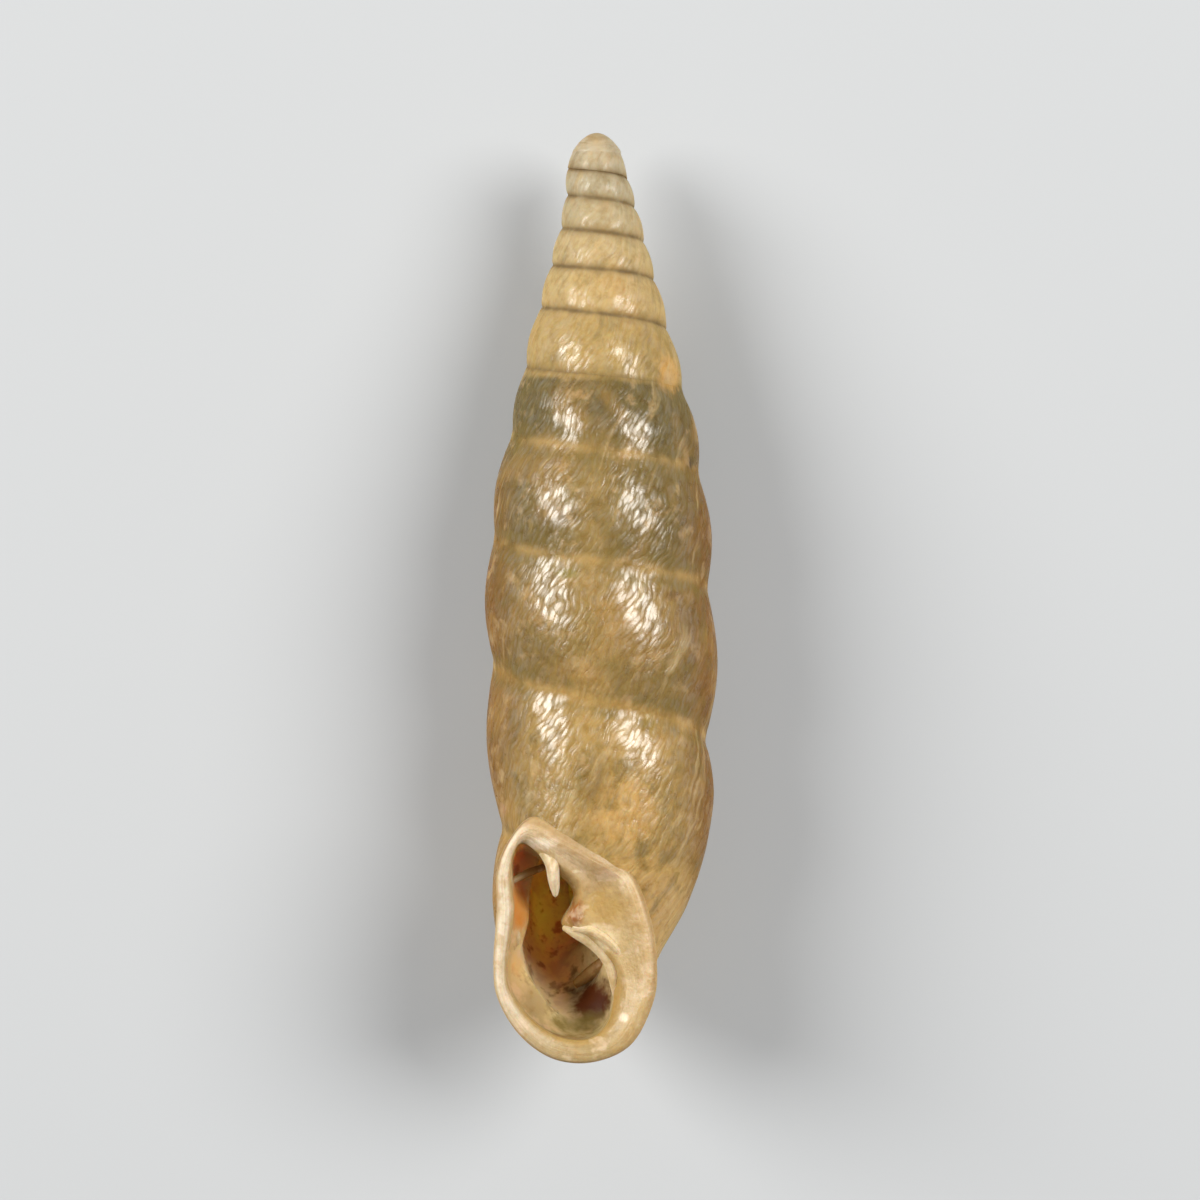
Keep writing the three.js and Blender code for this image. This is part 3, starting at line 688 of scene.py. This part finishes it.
class Finish:
    """A material that is wired up one call at a time. Each call returns the output that it makes."""

    def __init__(self, name):
        self.material = bpy.data.materials.new(name)
        self.material.use_nodes = True
        self.tree = self.material.node_tree
        self.shader = self.tree.nodes["Principled BSDF"]

    def node(self, kind, wires, **settings):
        node = self.tree.nodes.new("ShaderNode" + kind)
        for setting, value in settings.items():
            setattr(node, setting, value)
        for socket, value in wires.items():
            self.wire(node.inputs[socket], value)
        return node

    def wire(self, socket, value):
        if isinstance(value, bpy.types.NodeSocket):
            self.tree.links.new(value, socket)
        else:
            socket.default_value = value

    def sum(self, operation, a, b=0.0):
        return self.node("Math", {0: a, 1: b}, operation=operation).outputs[0]

    def add(self, a, b):
        return self.sum("ADD", a, b)

    def less(self, a, b):
        return self.sum("SUBTRACT", a, b)

    def times(self, a, b):
        return self.sum("MULTIPLY", a, b)

    def parts(self, vector):
        return self.node("SeparateXYZ", {0: vector}).outputs

    def vector(self, x, y, z=0.0):
        return self.node("CombineXYZ", {0: x, 1: y, 2: z}).outputs[0]

    def grown(self):
        """Millimetres in the growth frame."""
        return self.node("Attribute", {}, attribute_name="grown").outputs["Vector"]

    def map(self, name):
        return self.parts(self.node("UVMap", {}, uv_map=name).outputs[0])

    def noise(self, where, scale, detail=2.0, roughness=0.55):
        wires = {"Vector": where, "Scale": scale, "Detail": detail, "Roughness": roughness}
        return self.node("TexNoise", wires).outputs[0]

    def step(self, value, low, high, at_low=0.0, at_high=1.0):
        """A smooth step from at_low to at_high as the value goes from low to high."""
        wires = {"Value": value, "From Min": low, "From Max": high, "To Min": at_low, "To Max": at_high}
        return self.node("MapRange", wires, interpolation_type="SMOOTHSTEP").outputs[0]

    def bell(self, value, width):
        """The bell curve exp(-(value / width)^2)."""
        scaled = self.sum("DIVIDE", value, width)
        return self.sum("EXPONENT", self.times(self.times(scaled, scaled), -1.0))

    def blend(self, share, a, b, kind="MIX"):
        node = self.tree.nodes.new("ShaderNodeMix")
        node.data_type, node.blend_type = "RGBA", kind
        for socket, value in ((0, share), (6, a), (7, b)):
            whole = isinstance(value, (float, bpy.types.NodeSocket))
            self.wire(node.inputs[socket], value if whole else (*value, 1))
        return node.outputs[2]

    def laid(self, colour, tint, value, low, high, strength):
        """The colour with a tint over it, from none at the low value to the strength at the high one."""
        return self.blend(self.step(value, low, high, 0.0, strength), colour, tint)

    def shaded(self, colour, tint, value, low, high, share=1.0):
        """The colour times a tint that fades to white as the value goes from low to high."""
        return self.blend(share, colour, self.ramp(value, [(low, tint), (high, (1.0, 1.0, 1.0))]), "MULTIPLY")

    def ramp(self, value, stops):
        """Colours at places of a value from 0 to 1, run smoothly into each other."""
        node = self.node("ValToRGB", {0: value})
        elements = node.color_ramp.elements
        while len(elements) < len(stops):
            elements.new(0.5)
        for element, (place, colour) in zip(elements, stops):
            element.position = place
            element.color = (*colour, 1)
        return node.outputs[0]

    def spot(self, where, centre, radii, rough=0.0):
        """One at a centre, falling smoothly to nought on an ellipsoid about it. A rough value frays it."""
        away = self.node("VectorMath", {0: where, 1: centre}, operation="SUBTRACT").outputs[0]
        scaled = self.node("VectorMath", {0: away, 1: radii}, operation="DIVIDE").outputs[0]
        distance = self.node("VectorMath", {0: scaled}, operation="LENGTH").outputs["Value"]
        return self.step(self.add(distance, rough), 1.0, 0.3)

    def spots(self, colour, where, table, rough):
        """The colour with each (centre, radii, tint, strength) of the table laid over it."""
        for centre, radii, tint, strength in table:
            colour = self.blend(self.times(self.spot(where, centre, radii, rough), strength), colour, tint)
        return colour

    def scales(self, across, along):
        """Small scales side by side: how bright each one mirrors, less at its edges, and a pillow height
        that is the squared distance to its middle, below zero."""
        place = self.vector(across, along)
        cells = self.node("TexVoronoi", {"Vector": place, "Scale": 1.0}, voronoi_dimensions="2D")
        away = cells.outputs["Distance"]
        own = self.step(self.parts(cells.outputs["Color"])[0], 0.1, 0.7, 0.3, 1.0)
        mirror = self.times(own, self.step(away, 0.62, 0.3, 0.25, 1.0))
        return mirror, self.times(self.times(away, away), -1.0)

    def gloss(self, coat, specular, shine=1.0):
        """Gloss that fades towards the rim, as on a finely rough surface, and where the shine is less."""
        facing = self.node("LayerWeight", {"Blend": 0.5}).outputs["Facing"]
        left = self.times(self.step(facing, 0.2, 0.6, 1.0, 0.06), shine)
        self.wire(self.shader.inputs["Coat Weight"], self.times(coat, left))
        self.wire(self.shader.inputs["Specular IOR Level"], self.times(specular, left))

    def relief(self, height):
        """Bumps from a height in millimetres."""
        wires = {"Height": height, "Distance": MM, "Strength": 1.0}
        self.wire(self.shader.inputs["Normal"], self.node("Bump", wires).outputs[0])

    def horn(self, ior, coat_roughness, glow, spread):
        """What all parts of the shell share: gloss, and light that spreads in the wall and through it."""
        self.shader.inputs["IOR"].default_value = ior
        self.shader.inputs["Coat Roughness"].default_value = coat_roughness
        self.shader.inputs["Subsurface Weight"].default_value = glow
        self.shader.inputs["Subsurface Radius"].default_value = (1.0, 0.5, 0.22)
        self.shader.inputs["Subsurface Scale"].default_value = spread * MM
        return self.material


# Patches of colour on the skin, in the growth frame: middle, half sizes, colour, strength.
SKIN_PATCHES = (
    ((1.24, -0.9, 12.15), (0.4, 0.9, 0.5), (0.66, 0.38, 0.12), 0.75),  # orange edge above the olive whorl
    ((0.0, -1.5, 11.4), (0.3, 0.6, 0.45), (0.19, 0.155, 0.09), 0.6),
    ((-0.62, -1.55, 10.8), (0.16, 0.5, 0.07), (0.12, 0.09, 0.07), 0.6),  # dark patches just below a seam
    ((-0.1, -1.7, 10.68), (0.18, 0.5, 0.06), (0.14, 0.11, 0.06), 0.5),
    ((1.62, -0.6, 10.58), (0.14, 0.4, 0.16), (0.05, 0.04, 0.04), 0.9),  # dark stain at the right edge
    ((-0.8, -1.7, 9.6), (0.8, 0.8, 0.26), (0.18, 0.125, 0.05), 0.75),
    ((0.39, -1.8, 9.3), (0.07, 0.4, 0.07), (0.12, 0.07, 0.02), 0.7),
    ((-0.57, -1.8, 8.6), (0.3, 0.5, 0.1), (0.25, 0.22, 0.05), 0.6),
    ((0.67, -1.8, 8.43), (0.28, 0.5, 0.12), (0.20, 0.16, 0.03), 0.7),
    ((1.3, -1.5, 8.2), (0.25, 0.5, 0.12), (0.22, 0.12, 0.045), 0.6),
    ((1.45, -1.3, 7.69), (0.45, 0.9, 0.5), (0.24, 0.165, 0.09), 0.65),
    ((-1.6, -1.1, 6.1), (0.45, 0.9, 0.8), (0.24, 0.145, 0.05), 0.6),
    ((-0.7, -1.9, 6.53), (0.3, 0.5, 0.12), (0.33, 0.22, 0.06), 0.6),
    ((0.3, -2.0, 6.29), (0.6, 0.6, 0.14), (0.42, 0.26, 0.085), 0.6),
    ((0.88, -1.9, 5.94), (0.22, 0.5, 0.3), (0.38, 0.30, 0.07), 0.55),
    ((-0.15, -2.0, 5.0), (0.4, 0.7, 0.7), (0.20, 0.15, 0.05), 0.8),
    ((-0.9, -1.8, 4.75), (0.75, 0.9, 0.4), (0.36, 0.26, 0.10), 0.55),
    ((-1.27, -1.6, 4.64), (0.08, 0.5, 0.24), (0.60, 0.48, 0.28), 0.6),
    ((-1.74, -1.0, 4.4), (0.12, 0.5, 0.15), (0.50, 0.27, 0.20), 0.6),
    ((0.45, -1.95, 4.4), (0.85, 0.9, 0.85), (0.66, 0.42, 0.15), 0.7),
    ((0.75, -1.7, 3.3), (0.7, 1.2, 0.6), (0.60, 0.39, 0.15), 0.6),
)


def horn_skin():
    """The skin of the whorls: horn yellow that changes down the spire, oblique growth lines, seams between
    the whorls, mottling, and a fine crackle in the gloss."""
    f = Finish("horn_skin")
    where = f.grown()
    x, y, z = f.parts(where)
    place, grain = f.map("place"), f.map("grain")
    turn = f.times(place[0], float(LAST_TURN))
    share, down = place[1], grain[1]
    ever = f.add(turn, share)
    above_next = f.less(f.sum("DIVIDE", down, f.sum("MAXIMUM", share, 0.02)), down)
    near = f.sum("MINIMUM", down, above_next)
    sway = f.times(f.noise(where, 1.3), 0.45)
    line = f.add(f.add(grain[0], f.times(down, 0.45)), sway)
    fine = f.noise(f.vector(f.times(line, 13.0), f.times(down, 2.0), turn), 1.0, 2.0, 0.5)
    coarse = f.noise(f.vector(f.times(line, 3.4), f.times(down, 0.5), turn), 1.0, 3.0, 0.6)
    mottle = f.noise(where, 2.4, 4.0, 0.62)
    patch = f.noise(where, 0.9, 2.0, 0.5)
    speck = f.noise(where, 6.5, 3.0, 0.6)
    fray = f.add(f.times(mottle, 1.4), -0.7)

    ragged = f.times(fray, 0.08)
    above, below = (f.bell(f.add(distance, ragged), 0.14) for distance in (down, above_next))
    shade = f.add(turn, f.times(f.less(below, above), 0.5))
    colour = f.ramp(f.sum("DIVIDE", shade, 14.0), [(at_turn / 14, tint) for at_turn, tint in (
        (0.0, (0.50, 0.43, 0.31)), (2.1, (0.46, 0.40, 0.275)), (3.2, (0.47, 0.385, 0.23)),
        (4.3, (0.53, 0.405, 0.205)), (5.4, (0.54, 0.395, 0.18)), (6.4, (0.45, 0.32, 0.125)),
        (6.74, (0.42, 0.30, 0.115)), (7.02, (0.155, 0.123, 0.05)), (8.0, (0.195, 0.145, 0.053)),
        (9.0, (0.245, 0.17, 0.058)), (10.0, (0.35, 0.235, 0.082)), (10.7, (0.50, 0.34, 0.125)),
        (11.3, (0.58, 0.39, 0.16)))])
    low = f.step(ever, 7.4, 8.8)
    # Painted shade, partly the shell's own reddish brown: the left and right flanks of the late whorls, as
    # seen from the front, are darkened.
    rim = f.times(f.step(f.sum("ABSOLUTE", f.add(x, 0.05)), 1.3, 2.0), low)
    colour = f.blend(f.times(rim, 0.88), colour, (0.22, 0.105, 0.028))
    # Painted light: a paler yellow band down the middle of the front of the late whorls, where light through
    # the shell shows the column inside.
    middle = f.times(f.times(f.bell(f.add(x, f.times(patch, 0.3)), 0.4), low), f.step(y, 0.0, -0.8))
    colour = f.blend(f.times(middle, 0.5), colour, (0.46, 0.315, 0.115))
    colour = f.spots(colour, where, SKIN_PATCHES, fray)

    contrast = f.step(turn, 6.6, 7.2, 0.6, 1.0)
    colour = f.blend(f.times(f.step(mottle, 0.50, 0.68, 0.0, 0.55), contrast), colour, (0.20, 0.145, 0.045))
    colour = f.blend(f.times(f.step(mottle, 0.47, 0.32, 0.0, 0.45), contrast), colour, (0.60, 0.42, 0.22))
    colour = f.laid(colour, (0.50, 0.30, 0.10), patch, 0.5, 0.66, 0.30)
    colour = f.laid(colour, (0.66, 0.50, 0.27), coarse, 0.56, 0.72, 0.45)
    colour = f.laid(colour, (0.20, 0.145, 0.055), coarse, 0.42, 0.28, 0.45)
    colour = f.shaded(colour, (0.84, 0.80, 0.74), fine, 0.3, 0.64, f.step(turn, 6.0, 7.5, 0.45, 1.0))
    colour = f.shaded(colour, (0.84, 0.79, 0.70), speck, 0.3, 0.56)

    early = f.times(f.step(ever, 7.6, 6.9), f.step(ever, 1.2, 2.0, 0.25, 1.0))
    broken = f.step(f.noise(where, 3.0, 2.0), 0.3, 0.6, 0.45, 1.0)
    beside_seam = f.times(f.times(f.bell(near, 0.11), early), f.times(broken, 0.65))
    colour = f.blend(beside_seam, colour, (0.27, 0.19, 0.09))
    seam = f.times(f.times(f.bell(near, 0.04), early), broken)
    colour = f.blend(f.times(seam, 0.8), colour, (0.17, 0.11, 0.05))
    late = f.times(f.step(ever, 7.2, 7.9), f.step(ever, 11.15, 10.95))
    # Painted shade: a darker olive band about 0.19 mm from each late seam, where the whorl curves in towards
    # it, broken up by the mottle.
    seam_shade = f.times(late, f.step(mottle, 0.38, 0.6, 0.15, 0.6))
    colour = f.blend(f.times(f.bell(f.less(near, 0.19), 0.1), seam_shade), colour, (0.21, 0.15, 0.045))
    wavy = f.add(near, f.times(f.add(speck, -0.5), 0.08))
    shown = f.step(f.noise(where, 1.7, 2.0), 0.38, 0.62, 0.05, 0.5)
    colour = f.blend(f.times(f.bell(wavy, 0.1), f.times(late, shown)), colour, (0.54, 0.36, 0.15))
    f.wire(f.shader.inputs["Base Color"], colour)

    mirror, pillow = f.scales(f.times(line, 13.5), f.add(f.times(down, 5.2), f.times(turn, 7.3)))
    calm = f.step(turn, 1.5, 7.0, 0.4, 1.0)
    height = f.add(f.times(pillow, 0.010), f.add(f.times(fine, 0.010), f.times(speck, 0.012)))
    height = f.add(f.times(height, calm), f.add(f.times(coarse, 0.012), f.times(mottle, 0.014)))
    f.relief(height)
    worn = f.step(turn, 6.8, 4.5, 0.0, 0.16)
    f.wire(f.shader.inputs["Roughness"], f.add(f.step(speck, 0.3, 0.7, 0.26, 0.42), worn))
    open_skin = f.less(1.0, f.times(f.bell(near, 0.11), 0.85))
    f.gloss(f.step(turn, 4.5, 6.8, 0.25, 1.0), 0.7, f.times(mirror, open_skin))
    return f.horn(1.6, 0.13, 0.45, 0.3)


LIP_PATCHES = (
    ((-0.43, -1.6, 2.68), (0.24, 0.6, 0.42), (0.34, 0.13, 0.04), 0.9),  # reddish recess, darkened partly as painted shade in the groove
    ((0.1, -1.7, 2.75), (0.62, 0.6, 0.55), (0.52, 0.34, 0.10), 0.8),  # olive yellow basin
    ((-0.72, -1.7, 3.2), (0.08, 0.4, 0.3), (0.60, 0.30, 0.08), 0.8),  # orange shadow beside the tooth
    # Pale cream on the outer right ridge: partly its own colour, partly a painted highlight.
    ((0.45, -1.8, 3.15), (0.16, 0.5, 0.3), (0.86, 0.74, 0.52), 0.7),
    ((0.43, -1.6, 0.79), (0.13, 0.4, 0.13), (0.95, 0.88, 0.70), 0.9),  # painted highlight: a bright spot at the lower right of the lip
    ((-0.45, -1.8, 3.38), (0.1, 0.4, 0.05), (0.92, 0.78, 0.55), 0.7),
    ((-0.17, -1.5, 2.32), (0.36, 0.5, 0.2), (0.78, 0.66, 0.43), 0.9),  # pale between the two folds
    ((0.13, -1.5, 2.13), (0.36, 0.5, 0.26), (0.78, 0.66, 0.43), 0.9),
    ((-1.02, -1.8, 3.87), (0.4, 0.5, 0.15), (0.88, 0.78, 0.64), 0.85),  # whitish callus by the corner, partly its own colour and partly a painted highlight
)


def lip_enamel():
    """The lip, its slope, the tooth and the folds: thick cream enamel, horn coloured on its outer side and
    yellow olive where it goes in."""
    f = Finish("lip_enamel")
    where = f.grown()
    place = f.map("place")
    around, across = place[0], place[1]
    mottle = f.noise(where, 3.2, 3.0, 0.6)
    speck = f.noise(where, 11.0, 3.0, 0.65)
    streak = f.noise(f.vector(f.times(around, 6.0), f.times(across, 3.5)), 1.0, 3.0, 0.6)
    fray = f.add(f.times(mottle, 1.2), -0.6)
    colour = f.ramp(around, [
        (0.0, (0.70, 0.59, 0.43)), (0.1, (0.77, 0.70, 0.56)), (0.27, (0.78, 0.70, 0.56)),
        (0.36, (0.56, 0.45, 0.28)), (0.47, (0.45, 0.34, 0.165)), (0.58, (0.54, 0.40, 0.20)),
        (0.72, (0.63, 0.47, 0.25)), (0.84, (0.60, 0.43, 0.24)), (1.0, (0.66, 0.52, 0.34))])
    on_lip = f.step(across, 4.5, 4.4)
    inner = f.times(f.step(across, 1.5, 2.0), on_lip)
    colour = f.blend(f.times(inner, 0.75), colour, (0.46, 0.30, 0.085))
    colour = f.spots(colour, where, LIP_PATCHES, fray)
    colour = f.blend(f.step(across, 4.9, 5.0), colour, (0.74, 0.61, 0.40))
    free = f.times(f.step(across, 5.4, 5.6), f.step(f.parts(where)[2], 3.62, 3.35, 0.15, 1.0))
    colour = f.blend(free, colour, (0.82, 0.73, 0.57))
    depth = f.step(f.parts(where)[1], -1.25, -0.95)
    colour = f.blend(f.times(depth, f.step(across, 4.9, 5.0)), colour, (0.36, 0.21, 0.08))
    colour = f.laid(colour, (0.52, 0.35, 0.14), mottle, 0.50, 0.66, 0.5)
    colour = f.laid(colour, (0.80, 0.64, 0.48), mottle, 0.47, 0.34, 0.45)
    on_body = f.add(f.step(around, 0.76, 0.84), f.step(around, 0.03, 0.0))
    outer = f.step(f.add(f.add(across, f.times(streak, 0.25)), f.times(on_body, -0.12)), 1.0, 0.8)
    colour = f.blend(f.times(outer, 0.85), colour, (0.50, 0.345, 0.165))
    # Painted shade: a dark line in the crease between the lip's outer side and its bead at the upper left.
    crease_shade = f.times(f.bell(f.less(f.add(across, f.times(streak, 0.12)), 0.74), 0.04),
                     f.times(f.step(around, 0.0, 0.03), f.step(around, 0.14, 0.10)))
    colour = f.blend(f.times(crease_shade, 0.75), colour, (0.25, 0.16, 0.09))
    colour = f.shaded(colour, (0.84, 0.80, 0.72), streak, 0.3, 0.6)
    colour = f.shaded(colour, (0.88, 0.84, 0.78), speck, 0.3, 0.56)
    f.wire(f.shader.inputs["Base Color"], colour)
    f.relief(f.add(f.times(speck, 0.012), f.add(f.times(mottle, 0.03), f.times(streak, 0.03))))
    f.wire(f.shader.inputs["Roughness"], f.step(speck, 0.3, 0.7, 0.36, 0.52))
    f.gloss(0.12, 0.45)
    return f.horn(1.55, 0.25, 0.5, 0.3)


LINING_PATCHES = (
    ((-1.4, -1.0, 2.7), (0.35, 0.9, 0.7), (0.56, 0.22, 0.045), 0.9),  # painted light: orange glow where light comes through the thin wall
    ((-0.17, -0.4, 1.0), (0.64, 1.2, 0.72), (0.10, 0.027, 0.009), 1.0),  # painted shadow: maroon, deep in the hollow
    ((-1.45, -1.0, 1.7), (0.16, 0.6, 0.3), (0.62, 0.42, 0.17), 0.7),
    ((-1.1, -1.0, 1.05), (0.5, 0.6, 0.45), (0.34, 0.25, 0.12), 0.6),
    ((-0.35, -0.9, 0.64), (0.75, 0.6, 0.3), (0.22, 0.17, 0.05), 0.8),  # olive brown floor of the mouth
    ((-1.3, -1.0, 3.6), (0.3, 0.6, 0.3), (0.45, 0.26, 0.15), 0.6),
)


def mouth_lining():
    """The inside of the mouth: brown near the opening that turns paler inwards, a painted stand-in for the
    light that comes through the thin walls, with a painted orange glow where the wall is thin and a painted
    maroon shadow.
    """
    f = Finish("mouth_lining")
    where = f.grown()
    across = f.map("place")[1]
    mottle = f.noise(where, 2.8, 3.0, 0.6)
    fray = f.add(f.times(mottle, 1.2), -0.6)
    # Paler inwards: painted light in place of the light that comes through the thin walls.
    colour = f.ramp(f.sum("DIVIDE", across, HOLLOW_MARK), [
        (0.26, (0.30, 0.225, 0.10)), (0.40, (0.44, 0.335, 0.155)), (0.50, (0.70, 0.54, 0.27)),
        (1.0, (0.80, 0.66, 0.36))])
    colour = f.laid(colour, (0.60, 0.44, 0.26), mottle, 0.50, 0.64, 0.6)
    colour = f.laid(colour, (0.26, 0.14, 0.045), mottle, 0.47, 0.34, 0.6)
    colour = f.spots(colour, where, LINING_PATCHES, fray)
    f.wire(f.shader.inputs["Base Color"], colour)
    f.relief(f.times(mottle, 0.025))
    f.wire(f.shader.inputs["Roughness"], f.step(mottle, 0.3, 0.7, 0.35, 0.5))
    f.gloss(0.0, 0.1)
    return f.horn(1.45, 0.3, 0.8, 1.0)


for number, made in enumerate((horn_skin(), lip_enamel(), mouth_lining())):
    body.data.materials[number] = made

# Camera, floor and light.

VIEW_DISTANCE = 75.0
VIEW_HEIGHT = 8.13
HALF_WIDTH_SEEN = 10.754
LIGHT_COLOUR = (1.0, 0.96, 0.88)


def add_camera():
    """The camera stands in front of the mouth in the growth frame, so it looks down on the laid shell."""
    data = bpy.data.cameras.new("camera")
    data.sensor_width = 36
    data.lens = data.sensor_width / 2 / (HALF_WIDTH_SEEN / VIEW_DISTANCE)
    data.clip_start, data.clip_end = 0.005, 5
    camera = bpy.data.objects.new("camera", data)
    bpy.context.collection.objects.link(camera)
    turn = Matrix(np.stack(((1, 0, 0), LAY_DOWN @ (0, 0, 1), LAY_DOWN @ (0, -1, 0)), axis=-1).tolist())
    place = laid_down((0, -VIEW_DISTANCE, VIEW_HEIGHT))
    camera.matrix_world = Matrix.Translation(place.tolist()) @ turn.to_4x4()
    bpy.context.scene.camera = camera


def add_soft_box(name, azimuth, elevation, tilt, distance, width, height, power):
    """An oval soft box aimed at the shell's middle. Azimuth is measured round the axis from the camera to
    the right, elevation from there to the apex and tilt clockwise as seen from the shell, in degrees.
    Sizes are in metres."""
    data = bpy.data.lights.new(name, "AREA")
    data.shape = "ELLIPSE"
    data.size, data.size_y = width, height
    data.energy = power
    data.color = LIGHT_COLOUR
    light = bpy.data.objects.new(name, data)
    bpy.context.collection.objects.link(light)
    a, e = math.radians(azimuth), math.radians(elevation)
    out = LAY_DOWN @ (math.sin(a) * math.cos(e), -math.cos(a) * math.cos(e), math.sin(e))
    up = LAY_DOWN @ (0, 0, 1)
    right = np.cross(up, out)
    right /= np.linalg.norm(right)
    up = np.cross(out, right)
    t = math.radians(tilt)
    right, up = right * math.cos(t) + up * math.sin(t), up * math.cos(t) - right * math.sin(t)
    turn = Matrix(np.stack((right, up, out), axis=-1).tolist())
    place = laid_down((0, 0, VIEW_HEIGHT)) + out * distance
    light.matrix_world = Matrix.Translation(place.tolist()) @ turn.to_4x4()


def add_floor():
    mesh = bpy.data.meshes.new("floor")
    mesh.from_pydata([(-2, -2, 0), (2, -2, 0), (2, 2, 0), (-2, 2, 0)], [], [(0, 1, 2, 3)])
    floor = bpy.data.objects.new("floor", mesh)
    bpy.context.collection.objects.link(floor)
    paper = Finish("pale_floor")
    paper.wire(paper.shader.inputs["Base Color"], (0.52, 0.55, 0.60, 1))
    paper.wire(paper.shader.inputs["Roughness"], 0.8)
    floor.data.materials.append(paper.material)


add_camera()
add_floor()
add_soft_box("left_box", -50, 15, -25, 0.2, 0.15, 0.10, 0.40)
add_soft_box("right_box", 41, 14, -30, 0.2, 0.145, 0.10, 0.37)

world = bpy.data.worlds.new("room")
world.use_nodes = True
sky = world.node_tree.nodes["Background"].inputs
sky["Color"].default_value = (1.0, 0.97, 0.93, 1)
sky["Strength"].default_value = 0.17
bpy.context.scene.world = world
bpy.context.scene.view_settings.view_transform = "Standard"
